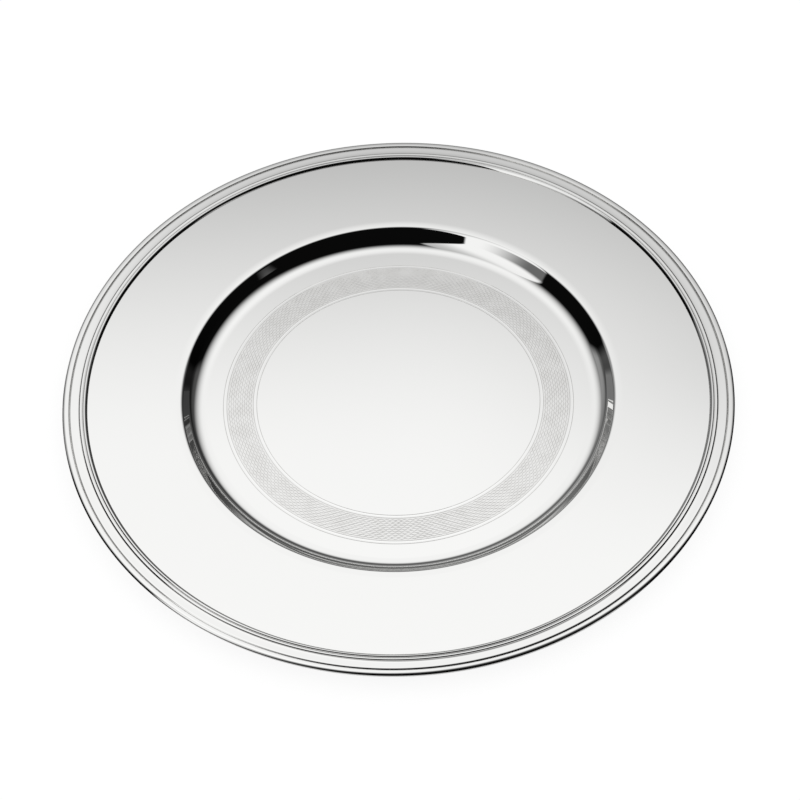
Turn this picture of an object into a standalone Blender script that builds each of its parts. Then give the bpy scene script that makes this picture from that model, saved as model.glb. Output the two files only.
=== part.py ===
"""Offering plate: a spun silver sheet with a reeded border of four soldered wires.

Metres, +Z up. The origin is on the axis, at the flat underside that the plate rests on.
"""
from math import cos, pi, radians, sin, tan

import bmesh
import bpy

MM = 0.001
TURN_STEPS = 96                  # facets round every turned piece
SOLDER_GAP = 0.3 * MM            # clearance left at each solder seam
SHARP_ANGLE = radians(38)

# the spun sheet
SHEET_THICKNESS = 1.2 * MM
WELL_DEPTH = 7.00 * MM           # floor to the inner end of the rim
WALL_ANGLE = radians(50)         # steepest slope of the curved wall
FLOOR_FILLET = 11.5 * MM         # hollow curve from the floor into the wall
LIP_ROUND = 3.0 * MM             # rounded shoulder from the wall into the rim
RIM_INNER_RADIUS = 101.6 * MM
RIM_RISE = 0.75 * MM             # the rim climbs this much to the border
BORDER_FOOT_RADIUS = 143.7 * MM
SHEET_EDGE_RADIUS = 151.7 * MM

# the border wires, from the inside out: tops as (radius, height over the seat) in mm
INNER_THREAD_TOP = ((143.7, 0.45), (143.95, 0.85), (144.3, 1.12), (144.75, 1.29),
                    (145.15, 1.33), (145.45, 1.22), (145.65, 1.05))
OUTER_THREAD_TOP = ((145.65, 1.07), (146.0, 1.20), (146.4, 1.31), (146.75, 1.35),
                    (147.0, 1.28), (147.2, 1.12), (147.35, 0.98))
MOULDING_TOP = ((147.35, 0.98), (147.7, 0.93), (148.2, 0.88), (148.9, 0.85), (149.6, 0.86),
                (150.3, 0.91), (150.9, 0.97), (151.3, 0.99), (151.6, 0.88), (151.85, 0.70))
BEAD_INNER_RADIUS = 151.85 * MM
PLATE_RADIUS = 155.0 * MM
BEAD_CENTRE_HEIGHT = 0.45 * MM       # above the border's seat
BEAD_HALF_HEIGHT = 0.80 * MM
BEAD_SIDES = 16                      # sides of the bead's oval section

RIM_SLOPE = RIM_RISE / (BORDER_FOOT_RADIUS - RIM_INNER_RADIUS)
SEAT_HEIGHT = SHEET_THICKNESS + WELL_DEPTH + RIM_RISE


def silver(name, shade, roughness):
    """Polished silver plate, a little lighter or darker from piece to piece."""
    material = bpy.data.materials.new(name)
    material.use_nodes = True
    shader = material.node_tree.nodes["Principled BSDF"]
    shader.inputs["Base Color"].default_value = (shade, shade, 0.98 * shade, 1.0)
    shader.inputs["Metallic"].default_value = 1.0
    shader.inputs["Roughness"].default_value = roughness
    return material


def turned_piece(name, outline, material):
    """Spin an outline of (radius, height) points, clockwise, once round the Z axis."""
    mesh = bpy.data.meshes.new(name)
    bm = bmesh.new()
    points = [bm.verts.new((radius, 0.0, height)) for radius, height in outline]
    closed = outline[0][0] > 0.0
    following = points[1:] + points[:1] if closed else points[1:]
    lines = [bm.edges.new(pair) for pair in zip(points, following)]
    bmesh.ops.spin(bm, geom=points + lines, axis=(0, 0, 1), cent=(0, 0, 0),
                   angle=2 * pi, steps=TURN_STEPS)
    bmesh.ops.remove_doubles(bm, verts=bm.verts, dist=0.001 * MM)
    bmesh.ops.dissolve_degenerate(bm, edges=bm.edges, dist=0.001 * MM)
    bmesh.ops.recalc_face_normals(bm, faces=bm.faces)
    bm.to_mesh(mesh)
    bm.free()
    mesh.shade_smooth()
    mesh.set_sharp_from_angle(angle=SHARP_ANGLE)
    mesh.materials.append(material)
    piece = bpy.data.objects.new(name, mesh)
    bpy.context.scene.collection.objects.link(piece)
    return piece


def spread(start, end, steps):
    """Evenly spaced values from start to end, both included."""
    return [start + (end - start) * i / steps for i in range(steps + 1)]


def sheet_face(depth):
    """Points of the face that lies at this depth under the sheet's top face, inside out."""
    slope = RIM_SLOPE                                  # a small angle, in radians
    rise_in_curves = (FLOOR_FILLET * (1 - cos(WALL_ANGLE))
                      + LIP_ROUND * (cos(slope) - cos(WALL_ANGLE)))
    straight = (WELL_DEPTH - rise_in_curves) / sin(WALL_ANGLE)
    run = (FLOOR_FILLET * sin(WALL_ANGLE) + straight * cos(WALL_ANGLE)
           + LIP_ROUND * (sin(WALL_ANGLE) - sin(slope)))
    fillet_centre = (RIM_INNER_RADIUS - run, SHEET_THICKNESS + FLOOR_FILLET)
    lip_centre = (RIM_INNER_RADIUS + LIP_ROUND * sin(slope),
                  SHEET_THICKNESS + WELL_DEPTH - LIP_ROUND * cos(slope))
    fillet = FLOOR_FILLET + depth
    lip = LIP_ROUND - depth
    face = [(0.0, SHEET_THICKNESS - depth)]
    for angle in spread(0.0, WALL_ANGLE, 5):
        face.append((fillet_centre[0] + fillet * sin(angle),
                     fillet_centre[1] - fillet * cos(angle)))
    for angle in spread(WALL_ANGLE, slope, 4):
        face.append((lip_centre[0] - lip * sin(angle), lip_centre[1] + lip * cos(angle)))
    foot = BORDER_FOOT_RADIUS + depth * tan(slope / 2)
    face.append((foot, SEAT_HEIGHT - depth))
    face.append((SHEET_EDGE_RADIUS, SEAT_HEIGHT - depth))
    return face


def plate_body(material):
    """Well, curved wall and rim in one spun sheet; its flat outer edge seats the border."""
    underside = sheet_face(SHEET_THICKNESS)
    turned_piece("plate_body", sheet_face(0.0) + underside[::-1], material)


def seated_wire(name, top, inner_gap, material):
    """A drawn wire with a flat underside, soldered on the sheet's edge."""
    inner = top[0][0] * MM + inner_gap
    outer = top[-1][0] * MM - SOLDER_GAP / 2
    base = SEAT_HEIGHT + SOLDER_GAP
    outline = [(min(max(radius * MM, inner), outer), SEAT_HEIGHT + height * MM)
               for radius, height in top]
    outline += [(outer, base), (inner, base)]
    turned_piece(name, outline, material)


def edge_bead(material):
    """The oval wire that closes the plate's edge, outside the sheet."""
    inner = BEAD_INNER_RADIUS + SOLDER_GAP / 2
    middle = (inner + PLATE_RADIUS) / 2
    half_width = (PLATE_RADIUS - inner) / 2
    centre_height = SEAT_HEIGHT + BEAD_CENTRE_HEIGHT
    outline = []
    for angle in spread(0.0, 2 * pi, BEAD_SIDES)[:-1]:
        outline.append((middle + half_width * sin(angle),
                        centre_height + BEAD_HALF_HEIGHT * cos(angle)))
    turned_piece("edge_bead_wire", outline, material)


def build():
    for old in list(bpy.data.objects):
        bpy.data.objects.remove(old)

    half_gap = SOLDER_GAP / 2
    sheet_silver = silver("sheet_silver", 0.93, 0.04)
    wire_silver = silver("wire_silver", 0.90, 0.06)

    plate_body(sheet_silver)
    seated_wire("inner_thread_wire", INNER_THREAD_TOP, 0.0, wire_silver)
    seated_wire("outer_thread_wire", OUTER_THREAD_TOP, half_gap, wire_silver)
    seated_wire("border_moulding_wire", MOULDING_TOP, half_gap, wire_silver)
    edge_bead(wire_silver)


build()
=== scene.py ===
"""Offering plate in polished silver plate: a spun sheet with an engraved band in its well
and a reeded border of four drawn wires.  Metres, +Z up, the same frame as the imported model.
"""

from math import cos, pi, radians, sin, tan

import bpy
import numpy as np
from mathutils import Matrix, Vector


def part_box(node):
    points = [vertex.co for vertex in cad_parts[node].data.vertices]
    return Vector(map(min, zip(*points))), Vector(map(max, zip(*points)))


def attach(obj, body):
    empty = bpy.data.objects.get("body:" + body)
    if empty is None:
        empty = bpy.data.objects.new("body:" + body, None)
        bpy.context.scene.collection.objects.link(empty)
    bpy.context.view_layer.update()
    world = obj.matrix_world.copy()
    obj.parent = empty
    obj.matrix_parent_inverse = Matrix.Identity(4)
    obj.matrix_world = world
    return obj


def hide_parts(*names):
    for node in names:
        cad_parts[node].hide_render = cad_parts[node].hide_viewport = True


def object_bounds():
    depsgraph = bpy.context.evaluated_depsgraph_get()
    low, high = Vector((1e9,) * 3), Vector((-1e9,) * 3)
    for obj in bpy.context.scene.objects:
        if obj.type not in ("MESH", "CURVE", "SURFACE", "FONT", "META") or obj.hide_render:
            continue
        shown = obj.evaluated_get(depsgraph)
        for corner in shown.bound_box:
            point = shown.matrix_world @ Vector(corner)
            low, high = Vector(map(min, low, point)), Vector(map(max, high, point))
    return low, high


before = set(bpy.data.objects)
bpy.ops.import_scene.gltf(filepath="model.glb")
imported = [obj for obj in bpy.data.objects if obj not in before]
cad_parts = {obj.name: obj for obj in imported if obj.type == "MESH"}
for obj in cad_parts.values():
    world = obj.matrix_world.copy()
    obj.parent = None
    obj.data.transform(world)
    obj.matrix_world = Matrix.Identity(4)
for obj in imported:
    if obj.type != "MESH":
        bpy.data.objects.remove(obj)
cad_low, cad_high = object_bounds()
MM = 0.001


# ---------------------------------------------------------------------------------------
# The plate body: one disc of silver-plated sheet, spun over a chuck so that well, curved
# wall and rim are a single skin, then buffed to a mirror.  A band of fine wavy lines is
# engraved in the floor, between two shallow rings that are cut bright.

SHEET_THICKNESS = 1.2 * MM
WELL_DEPTH = 7.00 * MM           # floor to the inner end of the rim
WALL_ANGLE = radians(46)         # steepest slope of the curved wall
FLOOR_FILLET = 11.5 * MM         # hollow curve from the floor into the wall
LIP_ROUND = 3.0 * MM             # rounded shoulder from the wall into the rim
LIP_END_RADIUS = 101.1 * MM
SHOULDER_WIDTH = 3.0 * MM        # softer curve that follows the lip
SHOULDER_ANGLE = radians(10)     # its slope where it leaves the lip
RIM_INNER_RADIUS = 101.6 * MM
RIM_RISE = 0.75 * MM             # the rim climbs this much to the border
SEAT_HEIGHT = SHEET_THICKNESS + WELL_DEPTH + RIM_RISE
BORDER_FOOT_RADIUS = 143.7 * MM
SHEET_EDGE_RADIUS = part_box("plate_body")[1].x

PLAIN_STEPS = 672                # points round a plain ring
UNDERSIDE_STEPS = 336            # the underside carries no reflections worth more
WAVES = 168                      # waves of each engraved line in one turn
ENGRAVED_STEPS = 8 * WAVES

ENGRAVED_INNER = 67.45 * MM
ENGRAVED_OUTER = 79.75 * MM
BRIGHT_WIDTH = 1.6 * MM          # shallow bright ring at each side of the band
BRIGHT_DEPTH = 0.05 * MM
WAVY_LINES = 11
WAVE_HEIGHT = 0.22 * MM
CUT_HALF_WIDTH = 0.11 * MM
CUT_DEPTH = 0.035 * MM
GUARD = 0.25 * MM                # rings this close to a curve's end keep the flat parts flat


def spread(start, end, steps):
    """Evenly spaced values from start to end, both included."""
    return [start + (end - start) * i / steps for i in range(steps + 1)]


def ring(radius, height, steps, recess=0.0):
    """Points of one ring; its radius may be a number or one value for each point."""
    turn = np.arange(steps) * (2 * pi / steps)
    points = np.column_stack((radius * np.cos(turn), radius * np.sin(turn),
                              np.full(steps, height)))
    return points, recess


def strip(first, first_count, second, second_count):
    """Faces between two rings, where one may have twice as many points as the other."""
    faces = []
    most = max(first_count, second_count)
    for i in range(min(first_count, second_count)):
        if first_count == second_count:
            j = (i + 1) % most
            faces.append((first + i, second + i, second + j, first + j))
            continue
        here, half, after = 2 * i, 2 * i + 1, (2 * i + 2) % most
        follow = (i + 1) % (most // 2)
        if first_count < second_count:
            faces.append((first + i, second + here, second + half))
            faces.append((first + i, second + half, first + follow))
            faces.append((first + follow, second + half, second + after))
        else:
            faces.append((first + here, second + i, first + half))
            faces.append((first + half, second + i, second + follow))
            faces.append((first + half, second + follow, first + after))
    return faces


def turned_piece(name, rings, closed, sharp_angle):
    """Joins rings, listed over the top, outwards and back underneath, into one skin."""
    points, recesses, faces, starts = [], [], [], []
    total = 0
    for place, recess in rings:
        starts.append(total)
        points.append(place)
        recesses.append(np.full(len(place), recess))
        total += len(place)
    pairs = list(zip(range(len(rings) - 1), range(1, len(rings))))
    if closed:
        pairs.append((len(rings) - 1, 0))
    for a, b in pairs:
        faces += strip(starts[a], len(rings[a][0]), starts[b], len(rings[b][0]))
    if not closed:
        for centre_ring, order in ((0, (0, 1, 2)), (len(rings) - 1, (0, 2, 1))):
            place = rings[centre_ring][0]
            count, start = len(place), starts[centre_ring]
            points.append(np.array([[0.0, 0.0, place[0][2]]]))
            recesses.append(np.zeros(1))
            for i in range(count):
                corner = (total, start + i, start + (i + 1) % count)
                faces.append(tuple(corner[k] for k in order))
            total += 1
    mesh = bpy.data.meshes.new(name)
    mesh.from_pydata(np.concatenate(points).tolist(), [], faces)
    marks = mesh.attributes.new("recess", "FLOAT", "POINT")
    marks.data.foreach_set("value", np.concatenate(recesses).astype(np.float32))
    mesh.shade_smooth()
    mesh.set_sharp_from_angle(angle=sharp_angle)
    piece = bpy.data.objects.new(name, mesh)
    bpy.context.scene.collection.objects.link(piece)
    return piece


def sheet_face(depth, fillet_steps, lip_steps):
    """Curved part of the face that lies at this depth under the top face, inside out."""
    slope = RIM_RISE / (BORDER_FOOT_RADIUS - RIM_INNER_RADIUS)
    shoulder_round = SHOULDER_WIDTH / (sin(SHOULDER_ANGLE) - sin(slope))
    shoulder_end = LIP_END_RADIUS + SHOULDER_WIDTH
    shoulder_centre = (shoulder_end + shoulder_round * sin(slope),
                       SEAT_HEIGHT - (BORDER_FOOT_RADIUS - shoulder_end) * tan(slope)
                       - shoulder_round * cos(slope))
    lip_centre = (LIP_END_RADIUS + LIP_ROUND * sin(SHOULDER_ANGLE),
                  shoulder_centre[1] + (shoulder_round - LIP_ROUND) * cos(SHOULDER_ANGLE))
    fillet_height = SHEET_THICKNESS + FLOOR_FILLET
    straight_rise = (lip_centre[1] + LIP_ROUND * cos(WALL_ANGLE)
                     - fillet_height + FLOOR_FILLET * cos(WALL_ANGLE))
    fillet_radius = (lip_centre[0] - (LIP_ROUND + FLOOR_FILLET) * sin(WALL_ANGLE)
                     - straight_rise / tan(WALL_ANGLE))
    face = [(fillet_radius - GUARD, SHEET_THICKNESS - depth)]
    for angle in spread(0.0, WALL_ANGLE, fillet_steps):
        face.append((fillet_radius + (FLOOR_FILLET + depth) * sin(angle),
                     fillet_height - (FLOOR_FILLET + depth) * cos(angle)))
    for angle in spread(WALL_ANGLE, SHOULDER_ANGLE, lip_steps):
        face.append((lip_centre[0] - (LIP_ROUND - depth) * sin(angle),
                     lip_centre[1] + (LIP_ROUND - depth) * cos(angle)))
    for angle in spread(SHOULDER_ANGLE, slope, lip_steps)[1:]:
        face.append((shoulder_centre[0] - (shoulder_round - depth) * sin(angle),
                     shoulder_centre[1] + (shoulder_round - depth) * cos(angle)))
    foot = (BORDER_FOOT_RADIUS + depth * tan(slope / 2), SEAT_HEIGHT - depth)
    rim_start = face[-1]
    face.append((rim_start[0] + GUARD, rim_start[1] + GUARD * tan(slope)))
    face.append((foot[0] - GUARD, foot[1] - GUARD * tan(slope)))
    face.append(foot)
    return face


def cut_line(radius, wave_height, phase, steps):
    """Three rings of one V-shaped cut; a wavy line swings to each side of its radius."""
    turn = np.arange(steps) * (2 * pi / steps)
    middle = radius + wave_height * np.sin(WAVES * turn + phase)
    # the last value of each ring is painted shade: full at the cut's bottom, less at its edges
    return [ring(middle - CUT_HALF_WIDTH, SHEET_THICKNESS, steps, 0.35),
            ring(middle, SHEET_THICKNESS - CUT_DEPTH, steps, 1.0),
            ring(middle + CUT_HALF_WIDTH, SHEET_THICKNESS, steps, 0.35)]


def bright_ring(middle):
    """A shallow hollow ring, cut bright, between two fine lines."""
    rings = cut_line(middle - BRIGHT_WIDTH / 2, 0.0, 0.0, ENGRAVED_STEPS)
    for across, depth in ((-0.7, 0.02), (-0.15, 1.0), (0.15, 1.0), (0.7, 0.02)):
        rings.append(ring(middle + across * BRIGHT_WIDTH / 2,
                          SHEET_THICKNESS - depth * BRIGHT_DEPTH, ENGRAVED_STEPS))
    return rings + cut_line(middle + BRIGHT_WIDTH / 2, 0.0, 0.0, ENGRAVED_STEPS)


def engraved_band():
    """The wavy lines, between an inner and an outer bright ring."""
    rings = bright_ring(ENGRAVED_INNER - BRIGHT_WIDTH / 2)
    spacing = (ENGRAVED_OUTER - ENGRAVED_INNER) / (WAVY_LINES + 1)
    for line in range(1, WAVY_LINES + 1):
        rings += cut_line(ENGRAVED_INNER + spacing * line, WAVE_HEIGHT,
                          pi * (line % 2), ENGRAVED_STEPS)
    return rings + bright_ring(ENGRAVED_OUTER + BRIGHT_WIDTH / 2)


def plate_rings():
    """Every ring of the sheet: floor, band, wall, rim and seat, then the underside."""
    band_start = ENGRAVED_INNER - BRIGHT_WIDTH - CUT_HALF_WIDTH
    band_end = ENGRAVED_OUTER + BRIGHT_WIDTH + CUT_HALF_WIDTH
    rings = [ring(radius, SHEET_THICKNESS, PLAIN_STEPS)
             for radius in (band_start / 3, band_start - GUARD)]
    rings += engraved_band()
    rings.append(ring(band_end + GUARD, SHEET_THICKNESS, PLAIN_STEPS))
    rings += [ring(radius, height, PLAIN_STEPS) for radius, height in sheet_face(0.0, 20, 12)]
    # the foot of the rim, against the border wires, gets full painted shade
    rings[-1] = (rings[-1][0], 1.0)
    rings.append(ring(SHEET_EDGE_RADIUS, SEAT_HEIGHT, PLAIN_STEPS))
    rings.append(ring(SHEET_EDGE_RADIUS, SEAT_HEIGHT - SHEET_THICKNESS, UNDERSIDE_STEPS))
    underside = sheet_face(SHEET_THICKNESS, 12, 8)
    rings += [ring(radius, height, UNDERSIDE_STEPS) for radius, height in underside[::-1]]
    rings.append(ring(band_start / 3, 0.0, UNDERSIDE_STEPS))
    return rings


def node_group(name, inputs, outputs):
    """An empty shader node group with float, colour or vector sockets."""
    group = bpy.data.node_groups.new(name, "ShaderNodeTree")
    for label, kind, value in inputs:
        socket = group.interface.new_socket(label, in_out="INPUT", socket_type=kind)
        socket.default_value = value
    for label, kind in outputs:
        group.interface.new_socket(label, in_out="OUTPUT", socket_type=kind)
    return group, group.nodes.new("NodeGroupInput"), group.nodes.new("NodeGroupOutput")


def math_node(tree, operation, *values):
    """A Math node; each value is a number or another node's output."""
    node = tree.nodes.new("ShaderNodeMath")
    node.operation = operation
    for socket, value in zip(node.inputs, values):
        if isinstance(value, (int, float)):
            socket.default_value = value
        else:
            tree.links.new(value, socket)
    return node.outputs[0]


def ramp_value(tree, value, low, high, low_to=0.0, high_to=1.0):
    """Smoothly takes value from low..high to low_to..high_to, and holds it outside."""
    node = tree.nodes.new("ShaderNodeMapRange")
    node.interpolation_type = "SMOOTHSTEP"
    tree.links.new(value, node.inputs["Value"])
    for label, number in (("From Min", low), ("From Max", high),
                          ("To Min", low_to), ("To Max", high_to)):
        node.inputs[label].default_value = number
    return node.outputs["Result"]


def buffing_marks():
    """Concentric hairlines of the lathe buff, and the faint haze that handling leaves."""
    group, given, result = node_group(
        "buffing_marks",
        [("Bright roughness", "NodeSocketFloat", 0.02),
         ("Hazy roughness", "NodeSocketFloat", 0.05),
         ("Hairlines per metre", "NodeSocketFloat", 3000.0)],
        [("Roughness", "NodeSocketFloat"), ("Height", "NodeSocketFloat")])
    place = group.nodes.new("ShaderNodeTexCoord").outputs["Object"]
    flat = group.nodes.new("ShaderNodeVectorMath")
    flat.operation = "MULTIPLY"
    flat.inputs[1].default_value = (1.0, 1.0, 0.0)
    group.links.new(place, flat.inputs[0])
    radius = group.nodes.new("ShaderNodeVectorMath")
    radius.operation = "LENGTH"
    group.links.new(flat.outputs["Vector"], radius.inputs[0])
    around = group.nodes.new("ShaderNodeVectorMath")
    around.operation = "NORMALIZE"
    group.links.new(flat.outputs["Vector"], around.inputs[0])
    across = math_node(group, "MULTIPLY", radius.outputs["Value"],
                       given.outputs["Hairlines per metre"])
    lift = group.nodes.new("ShaderNodeCombineXYZ")
    group.links.new(across, lift.inputs["Z"])
    track = group.nodes.new("ShaderNodeVectorMath")
    track.operation = "ADD"
    group.links.new(around.outputs["Vector"], track.inputs[0])
    group.links.new(lift.outputs["Vector"], track.inputs[1])
    hairlines = group.nodes.new("ShaderNodeTexNoise")
    hairlines.inputs["Scale"].default_value = 1.0
    hairlines.inputs["Detail"].default_value = 3.0
    group.links.new(track.outputs["Vector"], hairlines.inputs["Vector"])
    haze = group.nodes.new("ShaderNodeTexNoise")
    haze.inputs["Scale"].default_value = 22.0
    haze.inputs["Detail"].default_value = 4.0
    group.links.new(place, haze.inputs["Vector"])
    patches = ramp_value(group, haze.outputs["Fac"], 0.42, 0.68)
    lines = ramp_value(group, hairlines.outputs["Fac"], 0.35, 0.75)
    amount = math_node(group, "ADD", math_node(group, "MULTIPLY", patches, 0.65),
                       math_node(group, "MULTIPLY", lines, 0.35))
    extra = math_node(group, "SUBTRACT", given.outputs["Hazy roughness"],
                      given.outputs["Bright roughness"])
    roughness = math_node(group, "MULTIPLY_ADD", amount, extra,
                          given.outputs["Bright roughness"])
    group.links.new(roughness, result.inputs["Roughness"])
    group.links.new(hairlines.outputs["Fac"], result.inputs["Height"])
    return group


def painted_recess_shade():
    """Painted shade: silver greyed and warmed where the recess mark is high, in grooves and seams.
    """
    group, given, result = node_group(
        "painted_recess_shade",
        [("Silver", "NodeSocketColor", (0.97, 0.97, 0.96, 1.0)),
         ("Painted shade", "NodeSocketColor", (0.30, 0.28, 0.25, 1.0)),
         ("Amount", "NodeSocketFloat", 0.6)],
        [("Colour", "NodeSocketColor")])
    recess = group.nodes.new("ShaderNodeAttribute")
    recess.attribute_name = "recess"
    place = group.nodes.new("ShaderNodeTexCoord").outputs["Object"]
    patches = group.nodes.new("ShaderNodeTexNoise")
    patches.inputs["Scale"].default_value = 160.0
    patches.inputs["Detail"].default_value = 3.0
    group.links.new(place, patches.inputs["Vector"])
    uneven = ramp_value(group, patches.outputs["Fac"], 0.3, 0.7, 0.6, 1.0)
    # painted shade: the recess mark, made uneven, darkens and warms the silver
    mask = math_node(group, "MULTIPLY", recess.outputs["Fac"], uneven)
    mask = math_node(group, "MULTIPLY", mask, given.outputs["Amount"])
    blend = group.nodes.new("ShaderNodeMix")
    blend.data_type = "RGBA"
    group.links.new(mask, blend.inputs["Factor"])
    group.links.new(given.outputs["Silver"], blend.inputs["A"])
    group.links.new(given.outputs["Painted shade"], blend.inputs["B"])
    group.links.new(blend.outputs["Result"], result.inputs["Colour"])
    return group


BUFFING = buffing_marks()
RECESS_SHADE = painted_recess_shade()


def silver_finish(name, colour, recess_shade_amount, bright, hazy, hairlines, mark_depth):
    """Polished silver plate with its buffing marks and painted shade in the recesses."""
    material = bpy.data.materials.new(name)
    material.use_nodes = True
    tree = material.node_tree
    shader = tree.nodes["Principled BSDF"]
    shader.inputs["Metallic"].default_value = 1.0
    marks = tree.nodes.new("ShaderNodeGroup")
    marks.node_tree = BUFFING
    marks.inputs["Bright roughness"].default_value = bright
    marks.inputs["Hazy roughness"].default_value = hazy
    marks.inputs["Hairlines per metre"].default_value = hairlines
    tree.links.new(marks.outputs["Roughness"], shader.inputs["Roughness"])
    bump = tree.nodes.new("ShaderNodeBump")
    bump.inputs["Strength"].default_value = 1.0
    bump.inputs["Distance"].default_value = mark_depth
    tree.links.new(marks.outputs["Height"], bump.inputs["Height"])
    tree.links.new(bump.outputs["Normal"], shader.inputs["Normal"])
    # painted shade in the recesses, mixed into the base colour
    shade_paint = tree.nodes.new("ShaderNodeGroup")
    shade_paint.node_tree = RECESS_SHADE
    shade_paint.inputs["Silver"].default_value = (*colour, 1.0)
    shade_paint.inputs["Amount"].default_value = recess_shade_amount
    tree.links.new(shade_paint.outputs["Colour"], shader.inputs["Base Color"])
    return material


SHEET_SILVER = (0.975, 0.975, 0.965)
plate_body = turned_piece("plate_body_spun", plate_rings(), False, radians(12))
plate_body.data.materials.append(
    silver_finish("buffed_sheet_silver", SHEET_SILVER, 0.55, 0.012, 0.03, 2500.0, 2e-8))
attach(plate_body, "root")
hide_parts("plate_body")


# ---------------------------------------------------------------------------------------
# The two thread wires: fine silver wires, drawn with a rounded top, bent into rings and
# soldered side by side on the seat just outside the rim.  Each is highest near its outside.

SEAM_HALF_GAP = 0.01 * MM        # wires lie against each other, with a hairline between
WIRE_STEPS = 720
CURVE_STEPS = 4                  # rings between two points of a wire's section

# tops of the wires: radius, and height above the seat, in millimetres
INNER_THREAD = ((143.55, 0.10), (143.8, 0.38), (144.1, 0.68), (144.4, 0.93), (144.75, 1.12),
                (145.1, 1.20), (145.4, 1.08), (145.65, 0.85))
OUTER_THREAD = ((145.65, 0.87), (146.0, 1.02), (146.4, 1.16), (146.75, 1.22),
                (147.0, 1.14), (147.25, 0.93), (147.45, 0.68))

WIRE_SILVER = (0.965, 0.965, 0.955)
wire_finish = silver_finish("drawn_wire_silver", WIRE_SILVER, 0.55, 0.02, 0.045, 5000.0, 1e-8)


def smooth_curve(points, steps):
    """A curve through the points (Catmull-Rom), with this many steps from one to the next."""
    ends = [2 * points[0] - points[1], *points, 2 * points[-1] - points[-2]]
    curve = [points[0]]
    for p0, p1, p2, p3 in zip(ends, ends[1:], ends[2:], ends[3:]):
        for t in spread(0.0, 1.0, steps)[1:]:
            curve.append(0.5 * (2 * p1 + (p2 - p0) * t + (2 * p0 - 5 * p1 + 4 * p2 - p3) * t ** 2
                                + (3 * p1 - p0 - 3 * p2 + p3) * t ** 3))
    return curve


def drawn_wire(name, node, top):
    """A ring of wire with a shaped top, straight flanks and a flat, soldered base."""
    inner = top[0][0] * MM + SEAM_HALF_GAP
    outer = top[-1][0] * MM - SEAM_HALF_GAP
    base = SEAT_HEIGHT + SEAM_HALF_GAP
    outline = []
    # the last value of each point is painted shade: none on the crown, rising to full at each
    # flank and at the base
    for point in smooth_curve([Vector(point) for point in top], CURVE_STEPS):
        radius = min(max(point.x * MM, inner), outer)
        from_middle = abs(2 * radius - inner - outer) / (outer - inner)
        outline.append((radius, SEAT_HEIGHT + point.y * MM, from_middle ** 16))
    outline += [(outer, base, 1.0), (inner, base, 1.0)]
    rings = [ring(radius, height, WIRE_STEPS, recess) for radius, height, recess in outline]
    wire = turned_piece(name, rings, True, radians(35))
    wire.data.materials.append(wire_finish)
    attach(wire, "root")
    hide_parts(node)
    return wire


drawn_wire("inner_thread_wire_drawn", "inner_thread_wire", INNER_THREAD)
drawn_wire("outer_thread_wire_drawn", "outer_thread_wire", OUTER_THREAD)


# ---------------------------------------------------------------------------------------
# The border moulding: the broad, hollow-topped wire of the border, drawn in one length,
# closed into a ring and soldered on the seat against the outer thread.

MOULDING = ((147.45, 0.70), (147.8, 0.66), (148.3, 0.66), (149.0, 0.70), (149.7, 0.76),
            (150.4, 0.83), (150.9, 0.87), (151.25, 0.84), (151.55, 0.74), (151.85, 0.60))
drawn_wire("border_moulding_wire_drawn", "border_moulding_wire", MOULDING)


# ---------------------------------------------------------------------------------------
# The edge bead: an oval wire that runs round the outside of the sheet's edge and closes
# the border.  It is soldered to the sheet and to the moulding.

BEAD_INNER_RADIUS = 151.85 * MM
BEAD_CENTRE_HEIGHT = 0.42 * MM
BEAD_HALF_HEIGHT = 0.78 * MM
BEAD_INNER_FULLNESS = 0.5        # 1 is a plain oval; less is squarer
BEAD_OUTER_FULLNESS = 1.2
BEAD_SECTION_STEPS = 48


def edge_bead():
    """The oval section, taken once round, with its painted shade deepest against the sheet."""
    inner = BEAD_INNER_RADIUS + SEAM_HALF_GAP
    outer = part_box("edge_bead_wire")[1].x
    middle = (inner + outer) / 2
    half_width = (outer - inner) / 2
    rings = []
    # the inner side, against the sheet, gets painted shade
    for turn in spread(0.0, 2 * pi, BEAD_SECTION_STEPS)[:-1]:
        across, upward = sin(turn), cos(turn)
        radius = middle + half_width * across
        fullness = BEAD_INNER_FULLNESS if across < 0 else BEAD_OUTER_FULLNESS
        rise = abs(upward) ** fullness * (1 if upward > 0 else -1)
        height = SEAT_HEIGHT + BEAD_CENTRE_HEIGHT + BEAD_HALF_HEIGHT * rise
        rings.append(ring(radius, height, WIRE_STEPS, max(0.0, -across) ** 12))
    bead = turned_piece("edge_bead_wire_drawn", rings, True, radians(25))
    bead.data.materials.append(wire_finish)
    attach(bead, "root")
    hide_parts("edge_bead_wire")


edge_bead()


# ---------------------------------------------------------------------------------------
# The floor: a plain white sweep.  It glows, so that only a faint shadow gathers under the
# rim, and the silver does not mirror it.

FLOOR_HALF_SIZE = 6.0
PLATE_RADIUS = cad_high.x


def flat_card(name, corners, material):
    """A single flat panel that belongs to the studio and not to the plate."""
    mesh = bpy.data.meshes.new(name)
    mesh.from_pydata(corners, [], [tuple(range(len(corners)))])
    mesh.materials.append(material)
    card = bpy.data.objects.new(name, mesh)
    bpy.context.scene.collection.objects.link(card)
    return card


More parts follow.
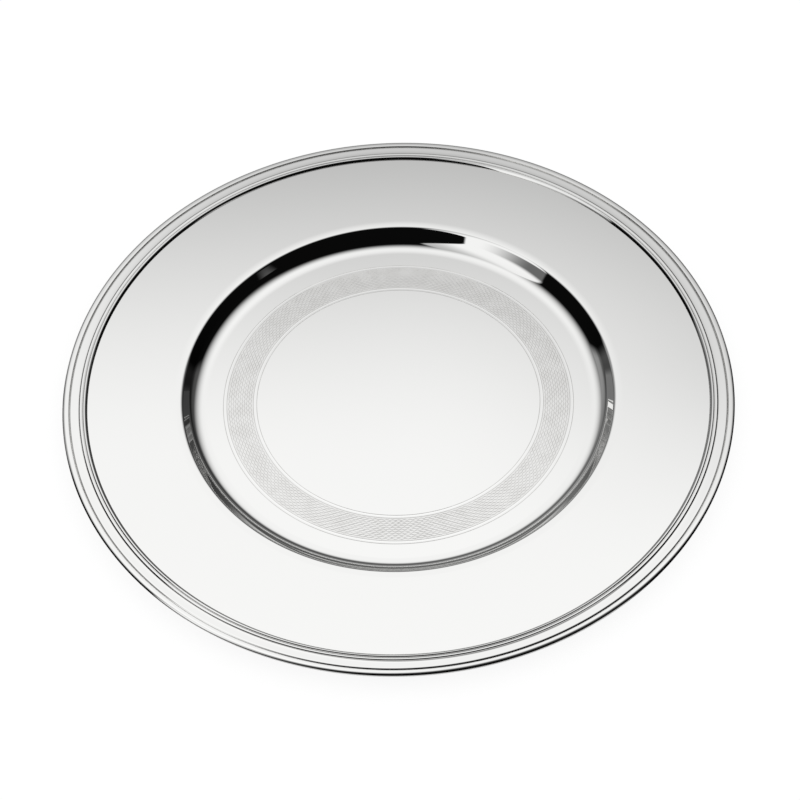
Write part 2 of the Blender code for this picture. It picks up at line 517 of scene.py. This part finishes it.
def floor_paint():
    """White paint that glows faintly from above and is not there from below."""
    material = bpy.data.materials.new("white_sweep")
    material.use_nodes = True
    tree = material.node_tree
    shader = tree.nodes["Principled BSDF"]
    shader.inputs["Base Color"].default_value = (0.14, 0.14, 0.14, 1.0)
    shader.inputs["Roughness"].default_value = 0.9
    shader.inputs["Specular IOR Level"].default_value = 0.0
    shader.inputs["Emission Color"].default_value = (1.0, 1.0, 1.0, 1.0)
    shader.inputs["Emission Strength"].default_value = 0.88
    clear = tree.nodes.new("ShaderNodeBsdfTransparent")
    side = tree.nodes.new("ShaderNodeNewGeometry")
    choose = tree.nodes.new("ShaderNodeMixShader")
    tree.links.new(side.outputs["Backfacing"], choose.inputs["Fac"])
    tree.links.new(shader.outputs["BSDF"], choose.inputs[1])
    tree.links.new(clear.outputs["BSDF"], choose.inputs[2])
    tree.links.new(choose.outputs["Shader"], tree.nodes["Material Output"].inputs["Surface"])
    return material


floor = flat_card("floor", [(-FLOOR_HALF_SIZE, -FLOOR_HALF_SIZE, 0.0),
                            (FLOOR_HALF_SIZE, -FLOOR_HALF_SIZE, 0.0),
                            (FLOOR_HALF_SIZE, FLOOR_HALF_SIZE, 0.0),
                            (-FLOOR_HALF_SIZE, FLOOR_HALF_SIZE, 0.0)], floor_paint())
floor.visible_glossy = False


# ---------------------------------------------------------------------------------------
# The studio: a big soft panel behind and over the plate, which the flat silver mirrors,
# a softbox at the left, a dim room beyond, which is dark on the photographer's side except
# for a pale band low down.  A graded net hangs over the plate.

NET_HEIGHT = 0.10
NET_HALF_SIZE = 0.60
# the net thins the light towards the back and, over the far half, towards the right;
# each fade is its two ends in metres, then how much light passes at each end
NET_BACKWARDS = (0.03, 0.34, 0.92, 0.34)
NET_BACK_OPENING = (0.36, 0.50, 0.0, 0.60)
NET_SIDEWAYS = (0.0, 0.30, 1.0, 0.60)
# in front the net is closed between these lines, which turn a little to the right
NET_FRONT = (-0.15, -0.09)
NET_FAR_FRONT = (-0.27, -0.24)
NET_SKEW = 0.35


def graded_net():
    """A fine net over the plate, denser towards the back; only mirrored light meets it."""
    material = bpy.data.materials.new("graded_net")
    material.use_nodes = True
    tree = material.node_tree
    tree.nodes.remove(tree.nodes["Principled BSDF"])
    clear = tree.nodes.new("ShaderNodeBsdfTransparent")
    tree.links.new(clear.outputs["BSDF"], tree.nodes["Material Output"].inputs["Surface"])
    parts = tree.nodes.new("ShaderNodeSeparateXYZ")
    tree.links.new(tree.nodes.new("ShaderNodeTexCoord").outputs["Object"], parts.inputs["Vector"])
    backwards = math_node(tree, "ADD", ramp_value(tree, parts.outputs["Y"], *NET_BACKWARDS),
                          ramp_value(tree, parts.outputs["Y"], *NET_BACK_OPENING))
    sideways = ramp_value(tree, parts.outputs["X"], *NET_SIDEWAYS)
    near_half = ramp_value(tree, parts.outputs["Y"], -0.05, 0.09)
    sideways = math_node(tree, "SUBTRACT", sideways, 1.0)
    sideways = math_node(tree, "MULTIPLY_ADD", sideways, near_half, 1.0)
    through = math_node(tree, "MULTIPLY", backwards, sideways)
    front = math_node(tree, "MULTIPLY_ADD", parts.outputs["X"], -NET_SKEW, parts.outputs["Y"])
    open_net = math_node(tree, "MAXIMUM", ramp_value(tree, front, *NET_FRONT, 0.04),
                         ramp_value(tree, front, *NET_FAR_FRONT, 1.0, 0.04))
    through = math_node(tree, "MULTIPLY", through, open_net)
    tree.links.new(through, clear.inputs["Color"])
    net = flat_card("graded_net", [(-NET_HALF_SIZE, -NET_HALF_SIZE, NET_HEIGHT),
                                   (NET_HALF_SIZE, -NET_HALF_SIZE, NET_HEIGHT),
                                   (NET_HALF_SIZE, NET_HALF_SIZE, NET_HEIGHT),
                                   (-NET_HALF_SIZE, NET_HALF_SIZE, NET_HEIGHT)], material)
    net.visible_camera = False
    net.visible_diffuse = False
    net.visible_transmission = False
    net.visible_shadow = False


graded_net()

PANEL_TILT = radians(60.5)       # the big panel's middle, up from the horizon behind
# edges of the big panel, as tangents of the angle from its middle: where it starts to fade,
# and where it is gone; its front half is a little brighter
PANEL_FRONT_EDGE = (-0.92, -0.25, 0.0, 1.0)
PANEL_BACK_EDGE = (0.60, 1.0, 1.0, 0.0)
PANEL_SIDE_EDGE = (0.20, 1.20, 1.0, 0.0)
PANEL_BRIGHTNESS = (-0.10, 0.20, 1.10, 1.0)
# round the panel the room's dim back, brighter at the left, which sinks to the horizon
ROOM_START = (0.70, 1.0, 0.0, 0.28)
ROOM_SINKS = (1.4, 1.9, 1.0, 0.5)
ROOM_SIDEWAYS = (-0.7, 0.9, 1.2, 0.3)
ROOM_SIDE_END = (0.86, 0.92, 1.0, 0.0)
ROOM_FRONT = (0.36, 0.46)
SOFTBOX_BACK_EDGE = (0.3, 0.4)         # offset and slope of its long edges, seen overhead
SOFTBOX_FRONT_EDGE = (-0.2, 1.1)
SOFTBOX_INNER_END = -0.13
SOFTBOX_BLUR = (-0.02, 0.03)           # softness of the long edges
SOFTBOX_INNER_FADE = (-0.5, -0.1, 1.0, 0.5)
SOFTBOX_OUTER_FADE = (-1.6, -0.9, 0.15, 1.0)
LOW_LIGHT = 0.55                 # the pale band, on the photographer's side
LOW_LIGHT_TOP = (0.505, 0.55)    # it ends about 30 degrees over the horizon
LOW_LIGHT_BACK = (-0.5, -0.3)
TABLE_LIGHT = 0.80               # the white table behind the plate, seen from under its edge
DARKEST = 0.003


def studio_world():
    """What the silver mirrors, by direction; the camera and the floor see plain white."""
    world = bpy.data.worlds.new("studio_room")
    world.use_nodes = True
    bpy.context.scene.world = world
    tree = world.node_tree
    background = tree.nodes["Background"]
    parts = tree.nodes.new("ShaderNodeSeparateXYZ")
    tree.links.new(tree.nodes.new("ShaderNodeTexCoord").outputs["Generated"],
                   parts.inputs["Vector"])
    x, y, z = (parts.outputs[axis] for axis in "XYZ")

    facing = math_node(tree, "MULTIPLY_ADD", z, sin(PANEL_TILT),
                       math_node(tree, "MULTIPLY", y, cos(PANEL_TILT)))
    facing = math_node(tree, "MAXIMUM", facing, 0.05)
    u = math_node(tree, "DIVIDE", x, facing)
    v = math_node(tree, "DIVIDE",
                  math_node(tree, "MULTIPLY_ADD", z, -cos(PANEL_TILT),
                            math_node(tree, "MULTIPLY", y, sin(PANEL_TILT))), facing)
    panel = math_node(tree, "MULTIPLY", ramp_value(tree, v, *PANEL_FRONT_EDGE),
                      ramp_value(tree, v, *PANEL_BACK_EDGE))
    panel = math_node(tree, "MULTIPLY", panel, ramp_value(tree, v, *PANEL_BRIGHTNESS))
    panel = math_node(tree, "MULTIPLY", panel,
                      ramp_value(tree, math_node(tree, "ABSOLUTE", u), *PANEL_SIDE_EDGE))

    away = math_node(tree, "SQRT", math_node(tree, "MULTIPLY_ADD", u, u,
                                             math_node(tree, "MULTIPLY", v, v)))
    room = math_node(tree, "MULTIPLY", ramp_value(tree, away, *ROOM_START),
                     ramp_value(tree, away, *ROOM_SINKS))
    room = math_node(tree, "MULTIPLY", room, ramp_value(tree, x, *ROOM_SIDEWAYS))
    room = math_node(tree, "MULTIPLY", room,
                     ramp_value(tree, math_node(tree, "ABSOLUTE", x), *ROOM_SIDE_END))
    room = math_node(tree, "MULTIPLY", room, ramp_value(tree, y, *ROOM_FRONT))

    height = math_node(tree, "MAXIMUM", z, 0.02)
    p = math_node(tree, "DIVIDE", x, height)
    q = math_node(tree, "DIVIDE", y, height)
    back_edge = math_node(tree, "MULTIPLY_ADD", p, SOFTBOX_BACK_EDGE[1], SOFTBOX_BACK_EDGE[0])
    front_edge = math_node(tree, "MULTIPLY_ADD", p, SOFTBOX_FRONT_EDGE[1], SOFTBOX_FRONT_EDGE[0])
    softbox = ramp_value(tree, math_node(tree, "SUBTRACT", back_edge, q), *SOFTBOX_BLUR)
    softbox = math_node(tree, "MULTIPLY", softbox,
                        ramp_value(tree, math_node(tree, "SUBTRACT", q, front_edge),
                                   *SOFTBOX_BLUR))
    softbox = math_node(tree, "MULTIPLY", softbox,
                        ramp_value(tree, p, SOFTBOX_INNER_END - 0.04, SOFTBOX_INNER_END, 1.0, 0.0))
    softbox = math_node(tree, "MULTIPLY", softbox, ramp_value(tree, p, *SOFTBOX_INNER_FADE))
    softbox = math_node(tree, "MULTIPLY", softbox, ramp_value(tree, p, *SOFTBOX_OUTER_FADE))

    seen = math_node(tree, "MAXIMUM", panel, room)
    seen = math_node(tree, "MAXIMUM", seen, softbox)
    seen = math_node(tree, "MULTIPLY", seen, ramp_value(tree, z, -0.06, 0.0))
    low_light = math_node(tree, "MULTIPLY", ramp_value(tree, y, *LOW_LIGHT_BACK, LOW_LIGHT, 0.0),
                          ramp_value(tree, z, *LOW_LIGHT_TOP, 1.0, 0.0))
    table = math_node(tree, "MULTIPLY", ramp_value(tree, y, 0.62, 0.70, 0.0, TABLE_LIGHT),
                      ramp_value(tree, z, -0.05, 0.0, 1.0, 0.0))
    seen = math_node(tree, "MAXIMUM", seen, low_light)
    seen = math_node(tree, "MAXIMUM", seen, table)
    seen = math_node(tree, "MAXIMUM", seen, DARKEST)
    path = tree.nodes.new("ShaderNodeLightPath")
    plain = math_node(tree, "MAXIMUM", path.outputs["Is Camera Ray"],
                      path.outputs["Is Diffuse Ray"])
    strength = tree.nodes.new("ShaderNodeMix")
    tree.links.new(plain, strength.inputs["Factor"])
    tree.links.new(seen, strength.inputs["A"])
    strength.inputs["B"].default_value = 1.0
    tree.links.new(strength.outputs["Result"], background.inputs["Strength"])
    background.inputs["Color"].default_value = (1.0, 1.0, 1.0, 1.0)
    world.cycles.sampling_method = "NONE"


studio_world()


# ---------------------------------------------------------------------------------------
# The camera: a long lens in front of the plate, above it and turned a little.

CAMERA_DISTANCE = 7.5 * PLATE_RADIUS
CAMERA_TARGET = Vector((0.0008, -0.0066, SEAT_HEIGHT))
CAMERA_ELEVATION = radians(52.52)
CAMERA_ROLL = radians(-2.17)

camera_data = bpy.data.cameras.new("camera")
camera_data.lens = 113.5
camera_data.sensor_width = 36.0
camera = bpy.data.objects.new("camera", camera_data)
bpy.context.scene.collection.objects.link(camera)
turn = (Matrix.Rotation(pi / 2 - CAMERA_ELEVATION, 3, "X") @ Matrix.Rotation(CAMERA_ROLL, 3, "Z"))
camera.rotation_mode = "QUATERNION"
camera.rotation_quaternion = turn.to_quaternion()
camera.location = CAMERA_TARGET + CAMERA_DISTANCE * (turn @ Vector((0.0, 0.0, 1.0)))
bpy.context.scene.camera = camera
bpy.context.scene.view_settings.view_transform = "Standard"
